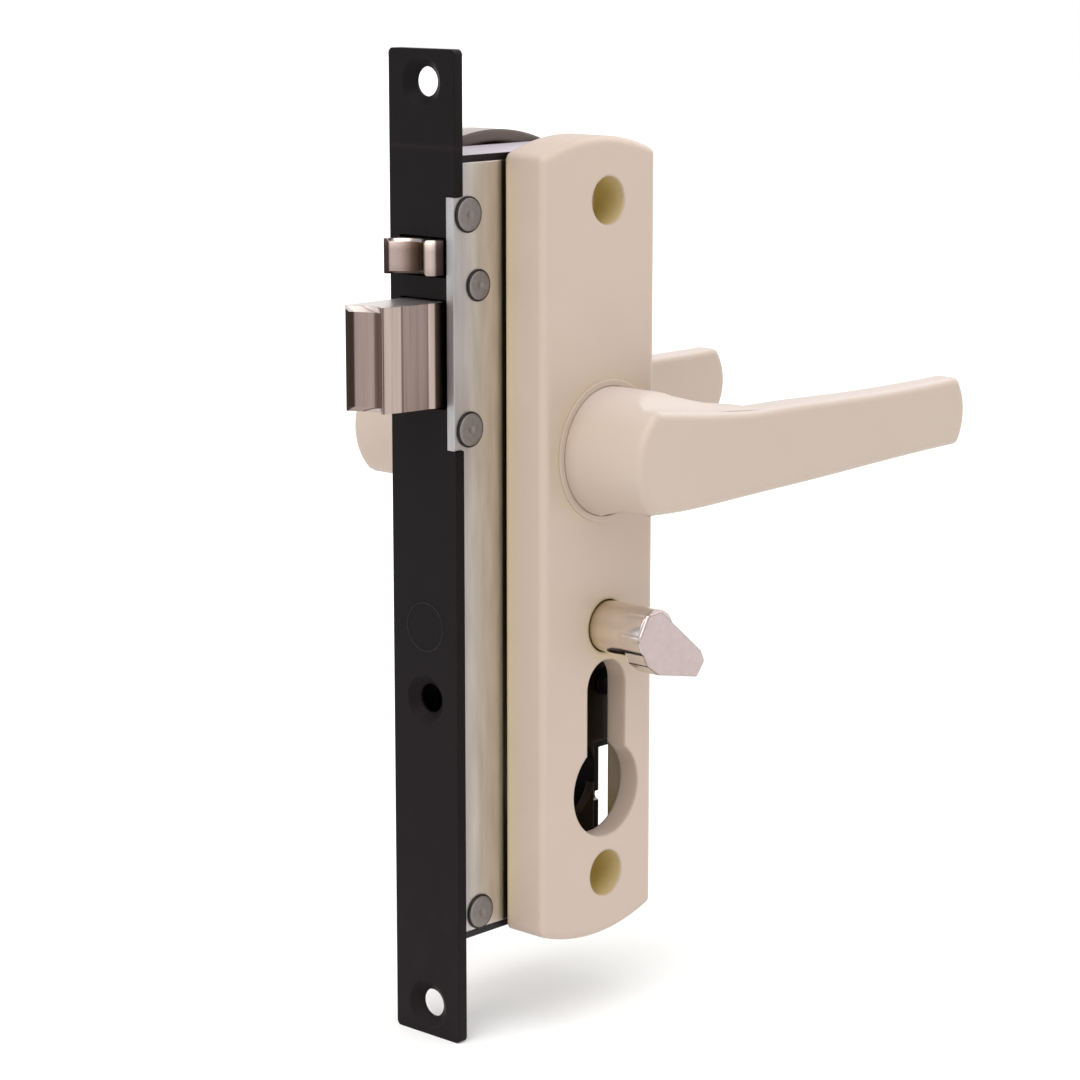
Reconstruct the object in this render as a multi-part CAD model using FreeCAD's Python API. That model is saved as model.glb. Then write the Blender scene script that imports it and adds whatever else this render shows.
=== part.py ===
import FreeCAD, Part
import math
import os

# Screen door mortice lock set: riveted case behind a faceplate, spring latch, auxiliary latch,
# a lever and a cover plate on each side of the door, and a snib turn on the inside plate.
# Millimetres. The origin is the centre of the faceplate's front. +X runs into the door edge,
# +Z is up, and the inside plate with its snib turn is on -Y.

# Clearances
RUN_FIT = 0.05
SEAT_FIT = 0.02
SLIDE_FIT = 0.1
SLOT_FIT = 0.4
CONTACT_GAP = 0.2
INSIDE_GAP = 0.3

# Faceplate
FACE_W = 16.0
FACE_H = 180.0
FACE_T = 2.0
FACE_CORNER_R = 1.0
FACE_SCREW_SPAN = 168.6
FACE_SCREW_R = 2.6
FACE_SINK_R = 4.6
FACE_SINK_DEEP = 1.5
KEY_SCREW_R = 2.65
KEY_SINK_R = 4.5
SPIGOT_R = 4.5
SPIGOT_Z = -12.9
SPIGOT_BLOCK = 12.0
SPIGOT_LONG = 9.4

# Case and its cover
CASE_HALF = 7.6
CASE_TOP = 71.8
CASE_BOTTOM = -70.4
CASE_BACK = 44.0
CASE_BACK_LOW = 38.6
CASE_STEP_Z = -41.5
CASE_WALL = 1.2
CASE_FAR_WALL = 1.5
RIM_NOTCH_Z = -50.8
RIM_NOTCH_R = 0.9
COVER_T = 1.75
TAB_BOTTOM = 20.0
TAB_TOP = 64.6

# Lines that the mechanism is laid out on
BACKSET = 29.0
HUB_Z = 17.7
SNIB_Z = -14.7
CYLINDER_Z = -45.7
KEY_SCREW_UP = 19.4

# Cylinder cut-out
CASE_EURO_R = 8.6
CASE_EURO_HALF = 5.1
PLATE_EURO_R = 8.9
PLATE_EURO_HALF = 5.25

# Rivets
RIVET_R = 1.6
RIVET_HEAD_R = 2.7
RIVET_BIG_HEAD_R = 3.05
RIVET_HEAD_T = 0.65
RIVET_DIMPLE_R = 0.75

# Plates
PLATE_LEFT = 12.2
PLATE_W = 30.0
PLATE_TOP = 74.4
PLATE_BOTTOM = -73.5
PLATE_ARCH = 3.0
PLATE_RIM_GAP = 1.1
PLATE_DEEP = 9.24
PLATE_WALL = 2.2
PLATE_FACE = 2.2
PLATE_CORNER_R = 1.6
PLATE_EDGE_R = 1.5
PLATE_SCREW_SPAN = 124.7
PLATE_SCREW_MID_Z = 0.55
PLATE_SCREW_R = 2.65
RECESS_R = 4.35
RECESS_DEEP = 7.2
BOSS_WALL = 2.0
SKIRT_DEEP = 4.3
SKIRT_WALL = 1.6

# Lever, its bush and its circlip
NECK_R = 11.78
NECK_FRONT = 36.2
NECK_BOTTOM_RISE = 2.9
BUSH_R = 13.1
BUSH_PROUD = 0.3
BUSH_SLEEVE_R = 12.6
BUSH_SLEEVE_DEEP = 4.2
BUSH_LIP_T = 1.2
SPIGOT_NECK_R = 9.8
CIRCLIP_T = 1.0
CIRCLIP_R = 10.8
CIRCLIP_GROOVE = 0.9
CIRCLIP_GAP_HALF = 3.0
NECK_TAIL = 1.2
GRIP_BACK = 27.9
TIP_FRONT = 33.6
TIP_X = 118.8
GRIP_END_R = 11.8
GRIP_START_UP = 9.7
GRIP_START_DOWN = 8.7
GRIP_TOP = [(33.0, 8.4), (42.0, 7.4), (50.0, 6.75), (62.0, 6.45), (80.0, 5.85), (98.0, 5.5), (116.2, 5.6)]
GRIP_BOTTOM = [(30.0, -9.1), (48.0, -8.95), (70.0, -8.65), (90.0, -8.2), (116.5, -7.9)]
GRIP_CORNER_R = 1.5
TIP_MID_Z = -1.4
GRIP_EDGE_R = 1.4
GRIP_BACK_EDGE_R = 1.2
SHOULDER_TOP = [(29.0, 11.8), (33.9, 10.65), (38.1, 9.5), (42.3, 8.5), (48.0, 7.6), (54.0, 6.6)]
SCOOP_R = 12.0
SCOOP_LOW = 8.35
SCOOP_FALL = 4.6
SPINDLE = 8.0
SPINDLE_HALF_LONG = 30.0
GRUB_R = 2.5
GRUB_LONG = 6.0
GRUB_OUT = 24.0
GRUB_KEY_R = 1.3

# Hub, its arm and its return spring
HUB_JOURNAL_R = 7.0
HUB_R = 9.5
HUB_NEAR = -2.4
HUB_FAR = 2.0
FLANGE_NEAR = 3.4
ARM_R = 20.0
ARM_NOSE_R = 2.2
ARM_HALF = 1.5
ARM_ROOT_HALF = 3.0
POCKET_R = 6.9
POCKET_MARGIN = 3.0
LUG_R = 1.0
LUG_AT = 12.5
RETURN_WIRE = 0.55
RETURN_R = 7.5
RETURN_PITCH = 1.0
RETURN_LEG = 9.0
PEG_R = 1.0
PEG_BACK = 7.5
HANDLE_TURN = 43.0

# Spring latch
LATCH_BOTTOM = 27.6
LATCH_TOP = 46.2
LATCH_NEAR = -4.9
LATCH_FAR = 5.1
LATCH_OUT = 14.6
LATCH_BACK = 12.0
LATCH_CHAMFER = 1.0
LATCH_BEVEL = [(-2.0, 0.0), (-3.0, 0.35), (-9.2, 1.0), (-13.0, 2.0), (-12.7, 2.6)]
LATCH_HOLLOW = (-13.25, 0.75)
LATCH_LIP = 1.5
LATCH_LIP_EDGE = 0.6
TAIL_NEAR = 2.4
TAIL_T = 1.8
TAIL_BOTTOM = 29.0
TAIL_TOP = 39.4
TAIL_TENON = 4.0
BAR_T = 2.3
BAR_BOTTOM = 35.2
BAR_NEAR = -2.9

# Latch spring and the post that it presses on
LATCH_WIRE = 0.7
LATCH_COIL_R = 2.05
LATCH_TURNS = 14
LATCH_SPRING_Y = -0.6
LATCH_SPRING_Z = 42.6
LATCH_BORE_R = 2.7
POST_X = 31.0
POST_T = 4.0
POST_H = 5.0
GUIDE_ROD_R = 1.3
GUIDE_ROD_X = 16.0

# Auxiliary latch
AUX_BOTTOM = 50.9
AUX_TOP = 57.1
AUX_HALF = 5.2
AUX_OUT = 4.4
AUX_BACK = 8.0
AUX_EDGE = 0.5
AUX_BEVEL = [(0.0, 0.0), (-1.5, 0.6), (-3.0, 2.0)]
AUX_HOLLOW = (-1.6, 0.7)
AUX_LIP = 1.3
STEM_R = 1.5
STEM_IN_HEAD = 4.0
STEM_END = 30.0
GUIDE_X = 22.0
GUIDE_T = 2.0
GUIDE_MARGIN = 3.0
AUX_WIRE = 0.5
AUX_COIL_R = 2.3
AUX_TURNS = 8

# Deadlatch lever that the stem swings
PIVOT_X = 37.5
PIVOT_BELOW_TOP = 8.8
PIVOT_R = 2.0
DEADLATCH_HUB_R = 4.0
DEADLATCH_HALF_T = 2.0
DEADLATCH_NOSE_R = 1.5
DEADLATCH_TIP = (-3.5, -13.5)
DEADLATCH_TIP_R = 1.2

# Snib turn, its cam and the deadlock slide
SNIB_HOLE_R = 4.95
SNIB_SHANK_R = 4.75
SNIB_FRONT = 30.4
SNIB_FINGER_T = 5.0
SNIB_TIP_T = 2.8
SNIB_TILT = 30.0
SNIB_OUTLINE = [
    (-4.4, 2.4), (-1.6, 4.4), (13.2, 2.0), (15.1, 0.7), (14.6, -2.8), (4.4, -6.2), (0.6, -5.9), (-4.4, -2.4),
]
SNIB_TIP = SNIB_OUTLINE[3]
SNIB_CORNER_R = 0.7
SNIB_EDGE_R = 0.5
SNIB_CLIP_R = 6.0
SNIB_CLIP_T = 0.8
SNIB_CLIP_GROOVE = 0.9
SNIB_TAIL_W = 6.0
SNIB_TAIL_T = 2.4
SNIB_TAIL_END = 1.2
CAM_R = 5.0
CAM_NEAR = 1.4
CAM_FAR = 3.5
CAM_PIN_AT = 6.0
CAM_PIN_R = 1.2
CAM_ARM_R = 2.0
CAM_TRUNNION_R = 2.5
SLIDE_NEAR = 3.7
SLIDE_FAR = 5.8
SLIDE_LEFT = 22.0
SLIDE_RIGHT = 38.0
SLIDE_BOTTOM = -20.0
SLIDE_TOP = -5.2
SLIDE_NOSE_HALF = 2.0
SLIDE_NOSE_TOP = 4.5
SLIDE_BAR_H = 4.0
SLIDE_LEG_X = 10.2
SLIDE_LEG_W = 3.8
SLIDE_FOOT_Z = -39.5
SLIDE_FOOT_H = 2.0
SLIDE_FOOT_X = 17.0
SLIDE_FOOT_NEAR = -2.0

# Places worked out from the sizes
FACE_HALF_W = FACE_W / 2
FACE_HALF_H = FACE_H / 2
COVER_OUT = -CASE_HALF
COVER_IN = COVER_OUT + COVER_T
FAR_OUT = CASE_HALF
FAR_IN = FAR_OUT - CASE_FAR_WALL
KEY_SCREW_Z = CYLINDER_Z + KEY_SCREW_UP
PLATE_RIM = CASE_HALF + PLATE_RIM_GAP
PLATE_FRONT = PLATE_RIM + PLATE_DEEP
PLATE_MID_X = PLATE_LEFT + PLATE_W / 2
PLATE_SCREW_ZS = [
    PLATE_SCREW_MID_Z + PLATE_SCREW_SPAN / 2,
    PLATE_SCREW_MID_Z - PLATE_SCREW_SPAN / 2,
]
LIP_IN = PLATE_FRONT - BUSH_SLEEVE_DEEP
LIP_OUT = LIP_IN + BUSH_LIP_T
CIRCLIP_OUT = LIP_IN - SLIDE_FIT
NECK_END = CIRCLIP_OUT - CIRCLIP_T - NECK_TAIL
HUB_END = CASE_HALF - SLIDE_FIT
ARM_TILT = HANDLE_TURN / 2
ARM_ANGLE = 90.0 + ARM_TILT
NOSE_X = BACKSET + ARM_R * math.cos(math.radians(ARM_ANGLE))
BAR_X = NOSE_X + ARM_NOSE_R + CONTACT_GAP
TAIL_END = BAR_X + BAR_T
LATCH_TRAVEL = 2 * ARM_R * math.sin(math.radians(ARM_TILT))
SNIB_LIFT = 2 * CAM_PIN_AT * math.sin(math.radians(SNIB_TILT))
AUX_MID_Z = (AUX_BOTTOM + AUX_TOP) / 2
PIVOT_Z = CASE_TOP - PIVOT_BELOW_TOP

# Rivets as x, z and head radius: four show beside the inside plate, the others lie behind it
RIVETS = [
    (3.6, AUX_TOP + 4.4, RIVET_BIG_HEAD_R),
    (6.1, AUX_BOTTOM - 2.0, RIVET_HEAD_R),
    (3.8, LATCH_BOTTOM - 4.1, RIVET_BIG_HEAD_R),
    (5.9, CASE_BOTTOM + 4.4, RIVET_BIG_HEAD_R),
    (17.5, CASE_TOP - 5.3, RIVET_HEAD_R),
    (40.4, HUB_Z + 6.8, RIVET_HEAD_R),
    (40.4, SNIB_Z - 14.3, RIVET_HEAD_R),
    (19.0, CASE_BOTTOM + 4.4, RIVET_HEAD_R),
]

PARTS = {}


def at(x, y, z):
    return FreeCAD.Vector(x, y, z)


def block(x0, x1, y0, y1, z0, z1):
    return Part.makeBox(x1 - x0, y1 - y0, z1 - z0, at(x0, y0, z0))


def rod_x(y, z, radius, x0, x1):
    return Part.makeCylinder(radius, x1 - x0, at(x0, y, z), at(1, 0, 0))


def rod_y(x, z, radius, y0, y1):
    return Part.makeCylinder(radius, y1 - y0, at(x, y0, z), at(0, 1, 0))


def rod_z(x, y, radius, z0, z1):
    return Part.makeCylinder(radius, z1 - z0, at(x, y, z0), at(0, 0, 1))


def prism_y(points, y0, y1):
    """A polygon of (x, z) points carried from y0 to y1."""
    loop = [at(x, y0, z) for x, z in points]
    return Part.Face(Part.makePolygon(loop + loop[:1])).extrude(at(0, y1 - y0, 0))


def turned_y(x, z, profile):
    """A closed (radius, y) profile turned about the line through (x, z) along Y."""
    loop = [at(x + r, y, z) for r, y in profile]
    face = Part.Face(Part.makePolygon(loop + loop[:1]))
    return face.revolve(at(x, 0, z), at(0, 1, 0), 360)


def fused(first, *others):
    return first.fuse(list(others)).removeSplitter()


def link_y(start, start_r, end, end_r, y0, y1):
    """The strap round two circles in the X-Z plane, from y0 to y1."""
    dx = end[0] - start[0]
    dz = end[1] - start[1]
    along = math.atan2(dz, dx)
    lean = math.acos((start_r - end_r) / math.hypot(dx, dz))
    corners = []
    for centre, radius, side in [(start, start_r, 1), (end, end_r, 1), (end, end_r, -1), (start, start_r, -1)]:
        angle = along + side * lean
        corners.append((centre[0] + radius * math.cos(angle), centre[1] + radius * math.sin(angle)))
    strap = prism_y(corners, y0, y1)
    return fused(strap, rod_y(start[0], start[1], start_r, y0, y1), rod_y(end[0], end[1], end_r, y0, y1))


def rounded(shape, radius, wanted):
    return shape.makeFillet(radius, [edge for edge in shape.Edges if wanted(edge)])


def runs_along_y(edge):
    ends = [vertex.Point for vertex in edge.Vertexes]
    return len(ends) == 2 and abs(ends[0].x - ends[1].x) < 1e-6 and abs(ends[0].z - ends[1].z) < 1e-6


def lies_at_y(edge, y):
    box = edge.BoundBox
    return abs(box.YMin - y) < 1e-4 and abs(box.YMax - y) < 1e-4


def turned(shape, x, z, degrees):
    """The shape turned about the line through (x, z) along +Y."""
    copy = shape.copy()
    copy.rotate(at(x, 0, z), at(0, 1, 0), degrees)
    return copy


def far_side(shape):
    return shape.mirror(at(0, 0, 0), at(0, 1, 0))


def euro_profile(radius, half, y0, y1):
    """The keyhole outline of a cylinder lock: a round end below and a slot above it."""
    slot = block(BACKSET - half, BACKSET + half, y0, y1, CYLINDER_Z, KEY_SCREW_Z)
    return fused(rod_y(BACKSET, CYLINDER_Z, radius, y0, y1), slot, rod_y(BACKSET, KEY_SCREW_Z, half, y0, y1))


def biarc(start, leave, end, arrive):
    """Two arcs that run from start to end, tangent to the given directions."""
    span = end - start
    both = leave + arrive
    a = both.dot(both) - 4
    b = -2 * span.dot(both)
    reach = (-b - math.sqrt(b * b - 4 * a * span.dot(span))) / (2 * a)
    corners = [start + leave * reach, end - arrive * reach]
    middle = (corners[0] + corners[1]) * 0.5
    arcs = []
    for first, corner, last in [(start, corners[0], middle), (middle, corners[1], end)]:
        chord_mid = (first + last) * 0.5
        half_chord = (last - first).Length / 2
        turn = math.acos(half_chord / (corner - first).Length)
        rise = (corner - chord_mid).normalize() * (half_chord * math.tan(turn / 2))
        arcs.append(Part.Arc(first, chord_mid + rise, last).toShape())
    return arcs


def coil(name, origin, across, up, axis, radius, wire, pitch, start, stop, leg=0.0):
    """A round wire wound about the axis from one angle to another, with a straight leg at each end."""
    sense = 1 if stop > start else -1

    def place(angle):
        rise = axis * (pitch * abs(angle - start) / (2 * math.pi))
        return origin + across * (radius * math.cos(angle)) + up * (radius * math.sin(angle)) + rise

    def heading(angle):
        round_part = (up * math.cos(angle) - across * math.sin(angle)) * (sense * radius)
        return (round_part + axis * (pitch / (2 * math.pi))).normalize()

    steps = math.ceil(abs(stop - start) / (math.pi / 2))
    angles = [start + (stop - start) * i / steps for i in range(steps + 1)]
    edges = []
    begin = place(start)
    if leg:
        begin = begin - heading(start) * leg
        edges.append(Part.makeLine(begin, place(start)))
    for first, last in zip(angles, angles[1:]):
        edges.extend(biarc(place(first), heading(first), place(last), heading(last)))
    if leg:
        edges.append(Part.makeLine(place(stop), place(stop) + heading(stop) * leg))
    section = Part.Wire([Part.makeCircle(wire / 2, begin, heading(start))])
    turns = Part.Wire(edges).makePipeShell([section], True, False)
    samples = [start + (stop - start) * i / (36 * steps) for i in range(36 * steps + 1)]
    points = [place(angle) for angle in samples]
    gap = min(
        (points[i] - points[j]).Length - wire
        for i in range(len(points))
        for j in range(i + 72, len(points), 3)
    )
    print(f"{name}: least gap between turns {gap:.2f} mm")
    return turns


def add(name, *solids):
    PARTS[name] = solids[0] if len(solids) == 1 else Part.makeCompound(list(solids))


# Faceplate, with its countersunk holes, the latch slots and the notch for the cover's tab
def faceplate():
    plate = block(0, FACE_T, -FACE_HALF_W, FACE_HALF_W, -FACE_HALF_H, FACE_HALF_H)
    plate = rounded(plate, FACE_CORNER_R, lambda edge: edge.BoundBox.XLength > FACE_T / 2)
    cuts = []
    for z in (FACE_SCREW_SPAN / 2, -FACE_SCREW_SPAN / 2):
        cuts.append(rod_x(0, z, FACE_SCREW_R, 0, FACE_T))
        cuts.append(Part.makeCone(FACE_SINK_R, FACE_SCREW_R, FACE_SINK_DEEP, at(0, 0, z), at(1, 0, 0)))
    cuts.append(rod_x(0, KEY_SCREW_Z, KEY_SCREW_R, 0, FACE_T))
    cuts.append(Part.makeCone(KEY_SINK_R, KEY_SCREW_R, FACE_SINK_DEEP, at(0, 0, KEY_SCREW_Z), at(1, 0, 0)))
    cuts.append(rod_x(0, SPIGOT_Z, SPIGOT_R + SEAT_FIT, 0, FACE_T))
    cuts.append(block(0, FACE_T, -FACE_HALF_W, COVER_IN, TAB_BOTTOM - SLIDE_FIT, TAB_TOP + SLIDE_FIT))
    cuts.append(block(0, FACE_T, COVER_IN, LATCH_FAR + SLOT_FIT, LATCH_BOTTOM - SLOT_FIT, LATCH_TOP + SLOT_FIT))
    cuts.append(block(0, FACE_T, COVER_IN, AUX_HALF + SLOT_FIT, AUX_BOTTOM - SLOT_FIT, AUX_TOP + SLOT_FIT))
    return plate.cut(cuts)


# Spigot block between the case walls, its round end staked flush in the faceplate
def face_spigot():
    half = SPIGOT_BLOCK / 2
    body = block(FACE_T, SPIGOT_LONG, COVER_IN, FAR_IN, SPIGOT_Z - half, SPIGOT_Z + half)
    return fused(body, rod_x(0, SPIGOT_Z, SPIGOT_R, 0, FACE_T))


def case_outline(inset, front, y0, y1):
    back = CASE_BACK - inset
    low_back = CASE_BACK_LOW - inset
    step = CASE_STEP_Z + inset
    top = CASE_TOP - inset
    bottom = CASE_BOTTOM + inset
    loop = [(front, bottom), (low_back, bottom), (low_back, step), (back, step), (back, top), (front, top)]
    return prism_y(loop, y0, y1)


def wall_holes(y0, y1):
    """The holes that the cover and the far wall of the case share."""
    holes = [rod_y(x, z, RIVET_R + SEAT_FIT, y0, y1) for x, z, head_r in RIVETS]
    holes += [rod_y(BACKSET, z, PLATE_SCREW_R, y0, y1) for z in PLATE_SCREW_ZS]
    holes.append(euro_profile(CASE_EURO_R, CASE_EURO_HALF, y0, y1))
    holes.append(rod_y(BACKSET, HUB_Z, HUB_JOURNAL_R + RUN_FIT, y0, y1))
    holes.append(rod_y(PIVOT_X, PIVOT_Z, PIVOT_R + SEAT_FIT, y0, y1))
    return holes


# Case tray: the far wall with a folded rim on three sides, open towards the cover and the faceplate
def lock_case():
    tray = case_outline(0, FACE_T, COVER_OUT, FAR_OUT)
    tray = tray.cut(case_outline(CASE_WALL, FACE_T, COVER_OUT, FAR_IN))
    cuts = wall_holes(FAR_IN, FAR_OUT)
    cuts.append(rod_y(BACKSET, SNIB_Z, CAM_TRUNNION_R + RUN_FIT, FAR_IN, FAR_OUT))
    cuts.append(rod_x(COVER_OUT, RIM_NOTCH_Z, RIM_NOTCH_R, CASE_BACK_LOW - CASE_WALL, CASE_BACK_LOW))
    return tray.cut(cuts)


# Cover sheet, set in between the rims, with a tab that comes forward through the faceplate's notch
def case_cover():
    sheet = case_outline(CASE_WALL + SLIDE_FIT, FACE_T, COVER_OUT, COVER_IN)
    tab = block(0, FACE_T, COVER_OUT, COVER_IN, TAB_BOTTOM, TAB_TOP)
    cuts = wall_holes(COVER_OUT, COVER_IN)
    cuts.append(rod_y(BACKSET, SNIB_Z, CAM_R + RUN_FIT, COVER_OUT, COVER_IN))
    peg_x, peg_z = peg_place()
    cuts.append(rod_y(peg_x, peg_z, PEG_R + SEAT_FIT, COVER_OUT, COVER_IN))
    return fused(sheet, tab).cut(cuts)


# Rivets that close the case: a dimpled head on the cover, the other end staked flush in the far wall
def case_rivets():
    out = CASE_HALF + RIVET_HEAD_T
    edge = RIVET_HEAD_T / 2
    rivets = []
    for x, z, head_r in RIVETS:
        profile = [
            (0, -out + edge),
            (RIVET_DIMPLE_R, -out),
            (head_r - edge, -out),
            (head_r, -out + edge),
            (head_r, -CASE_HALF),
            (RIVET_R, -CASE_HALF),
            (RIVET_R, FAR_OUT),
            (0, FAR_OUT),
        ]
        rivets.append(turned_y(x, z, profile))
    return rivets


def plate_outline(inset, y0, y1):
    left = PLATE_LEFT + inset
    right = PLATE_LEFT + PLATE_W - inset
    top = PLATE_TOP - inset
    bottom = PLATE_BOTTOM + inset
    low = bottom + PLATE_ARCH
    high = top - PLATE_ARCH
    edges = [
        Part.makeLine(at(left, y0, low), at(left, y0, high)),
        Part.Arc(at(left, y0, high), at(PLATE_MID_X, y0, top), at(right, y0, high)).toShape(),
        Part.makeLine(at(right, y0, high), at(right, y0, low)),
        Part.Arc(at(right, y0, low), at(PLATE_MID_X, y0, bottom), at(left, y0, low)).toShape(),
    ]
    return Part.Face(Part.Wire(edges)).extrude(at(0, y1 - y0, 0))


# Cover plate: a hollow casting with two screw bosses and a skirt round the keyhole
def door_plate(with_snib):
    body = plate_outline(0, -PLATE_FRONT, -PLATE_RIM)
    body = rounded(body, PLATE_CORNER_R, runs_along_y)
    body = rounded(body, PLATE_EDGE_R, lambda edge: lies_at_y(edge, -PLATE_FRONT))
    hollow_from = -PLATE_FRONT + PLATE_FACE
    body = body.cut(plate_outline(PLATE_WALL, hollow_from, -PLATE_RIM))
    skirt_end = -PLATE_FRONT + SKIRT_DEEP
    skirt = euro_profile(PLATE_EURO_R + SKIRT_WALL, PLATE_EURO_HALF + SKIRT_WALL, hollow_from, skirt_end)
    clip_room = rod_y(BACKSET, SNIB_Z, SNIB_CLIP_R + INSIDE_GAP, hollow_from, skirt_end)
    additions = [skirt.cut(clip_room)]
    for z in PLATE_SCREW_ZS:
        additions.append(rod_y(BACKSET, z, RECESS_R + BOSS_WALL, hollow_from, -CASE_HALF))
    body = fused(body, *additions)
    cuts = [euro_profile(PLATE_EURO_R, PLATE_EURO_HALF, -PLATE_FRONT, -PLATE_RIM)]
    for z in PLATE_SCREW_ZS:
        cuts.append(rod_y(BACKSET, z, RECESS_R, -PLATE_FRONT, -PLATE_FRONT + RECESS_DEEP))
        cuts.append(rod_y(BACKSET, z, PLATE_SCREW_R, -PLATE_FRONT, -CASE_HALF))
    cuts.append(rod_y(BACKSET, HUB_Z, BUSH_SLEEVE_R + SEAT_FIT, -PLATE_FRONT, -LIP_IN))
    if with_snib:
        cuts.append(rod_y(BACKSET, SNIB_Z, SNIB_HOLE_R, -PLATE_FRONT, hollow_from))
    return body.cut(cuts)


# Lever bush: a flanged ring in the plate, with a lip inside that the lever's spigot turns in
def lever_bush():
    bore = NECK_R + RUN_FIT
    lip_bore = SPIGOT_NECK_R + RUN_FIT
    proud = -PLATE_FRONT - BUSH_PROUD
    profile = [
        (bore, proud),
        (BUSH_R - BUSH_PROUD / 2, proud),
        (BUSH_R, proud + BUSH_PROUD / 2),
        (BUSH_R, -PLATE_FRONT),
        (BUSH_SLEEVE_R, -PLATE_FRONT),
        (BUSH_SLEEVE_R, -LIP_IN),
        (lip_bore, -LIP_IN),
        (lip_bore, -LIP_OUT),
        (bore, -LIP_OUT),
    ]
    return turned_y(BACKSET, HUB_Z, profile)


def open_ring(x, z, inner, outer, y0, y1, gap_half):
    ring = rod_y(x, z, outer, y0, y1).cut(rod_y(x, z, inner, y0, y1))
    return ring.cut(block(x - gap_half, x + gap_half, y0, y1, z - outer, z))


def smooth_edge(points, y):
    curve = Part.BSplineCurve()
    curve.interpolate([at(x, y, HUB_Z + z) for x, z in points])
    return curve.toShape()


def grip():
    """The flat grip: its outline round the hub and out to the tip, cut to its slanting front, with soft edges."""
    y = -NECK_FRONT

    def on_front(x, z):
        return at(x, y, HUB_Z + z)

    def on_end(z):
        return (BACKSET - math.sqrt(GRIP_END_R ** 2 - z ** 2), z)

    top = [on_end(GRIP_START_UP)] + GRIP_TOP
    bottom = [on_end(-GRIP_START_DOWN)] + GRIP_BOTTOM
    edges = [
        smooth_edge(top, y),
        Part.Arc(on_front(*top[-1]), on_front(TIP_X, TIP_MID_Z), on_front(*bottom[-1])).toShape(),
        smooth_edge(bottom, y),
        Part.Arc(on_front(*bottom[0]), on_front(BACKSET - GRIP_END_R, 0), on_front(*top[0])).toShape(),
    ]
    blank = Part.Face(Part.Wire(Part.__sortEdges__(edges))).extrude(at(0, NECK_FRONT - GRIP_BACK, 0))
    slope = (NECK_FRONT - TIP_FRONT) / (TIP_X - BACKSET)
    low = HUB_Z - 2 * NECK_R
    left = BACKSET - 2 * NECK_R
    right = TIP_X + NECK_R
    front = [
        at(left, y - NECK_R, low),
        at(left, y - 2 * NECK_R * slope, low),
        at(right, y + (right - BACKSET) * slope, low),
        at(right, y - NECK_R, low),
    ]
    excess = Part.Face(Part.makePolygon(front + front[:1])).extrude(at(0, 0, 4 * NECK_R))
    body = rounded(blank.cut(excess), GRIP_CORNER_R, runs_along_y)
    body = rounded(body, GRIP_EDGE_R, lambda edge: edge.BoundBox.YMax < -TIP_FRONT + GRIP_EDGE_R)
    return rounded(body, GRIP_BACK_EDGE_R, lambda edge: lies_at_y(edge, -GRIP_BACK))


def neck_and_shoulder(shoulder_y):
    """The round neck and the web that falls from it to the grip, scooped hollow along the top."""
    front = -NECK_FRONT + GRIP_EDGE_R + INSIDE_GAP
    neck = rod_y(BACKSET, HUB_Z, NECK_R, front, shoulder_y)
    first_x, first_z = SHOULDER_TOP[0]
    last_x, last_z = SHOULDER_TOP[-1]
    web_edges = [
        smooth_edge(SHOULDER_TOP, front),
        Part.makeLine(at(last_x, front, HUB_Z + last_z), at(last_x, front, HUB_Z)),
        Part.makeLine(at(last_x, front, HUB_Z), at(first_x, front, HUB_Z)),
        Part.makeLine(at(first_x, front, HUB_Z), at(first_x, front, HUB_Z + first_z)),
    ]
    web = Part.Face(Part.Wire(web_edges)).extrude(at(0, -GRIP_BACK - front, 0))
    scoop = rod_x(-NECK_FRONT, HUB_Z + SCOOP_LOW + SCOOP_R, SCOOP_R, BACKSET - 2 * NECK_R, TIP_X)
    scoop = turned(scoop, BACKSET, HUB_Z, SCOOP_FALL)
    floor_z = HUB_Z - NECK_R
    below = [
        at(BACKSET - NECK_R, -PLATE_FRONT, floor_z),
        at(BACKSET - NECK_R, -GRIP_BACK, floor_z + NECK_BOTTOM_RISE),
        at(BACKSET - NECK_R, -NECK_FRONT, floor_z + NECK_BOTTOM_RISE),
        at(BACKSET - NECK_R, -NECK_FRONT, floor_z),
    ]
    wedge = Part.Face(Part.makePolygon(below + below[:1])).extrude(at(2 * NECK_R, 0, 0))
    return neck.cut(wedge).cut(scoop), web.cut(scoop)


# Lever: a round neck that turns in the bush and a flat grip, bored square for the spindle
def lever():
    shoulder = -LIP_OUT - SLIDE_FIT
    spigot = rod_y(BACKSET, HUB_Z, SPIGOT_NECK_R, shoulder, -NECK_END)
    neck, web = neck_and_shoulder(shoulder)
    body = fused(neck, grip(), web, spigot)
    groove_r = SPIGOT_NECK_R - CIRCLIP_GROOVE
    groove_from = -CIRCLIP_OUT - SEAT_FIT
    groove_to = -CIRCLIP_OUT + CIRCLIP_T + SEAT_FIT
    groove = rod_y(BACKSET, HUB_Z, SPIGOT_NECK_R, groove_from, groove_to)
    groove = groove.cut(rod_y(BACKSET, HUB_Z, groove_r, groove_from, groove_to))
    half = SPINDLE / 2 + RUN_FIT
    socket = block(
        BACKSET - half, BACKSET + half, -SPINDLE_HALF_LONG - INSIDE_GAP, -NECK_END, HUB_Z - half, HUB_Z + half
    )
    screw_way = rod_z(BACKSET, -GRUB_OUT, GRUB_R + SEAT_FIT, HUB_Z - NECK_R, HUB_Z)
    return body.cut([groove, socket, screw_way])


# Square spindle through the hub and both levers
def spindle():
    half = SPINDLE / 2
    return block(
        BACKSET - half, BACKSET + half, -SPINDLE_HALF_LONG, SPINDLE_HALF_LONG, HUB_Z - half, HUB_Z + half
    )


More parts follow.
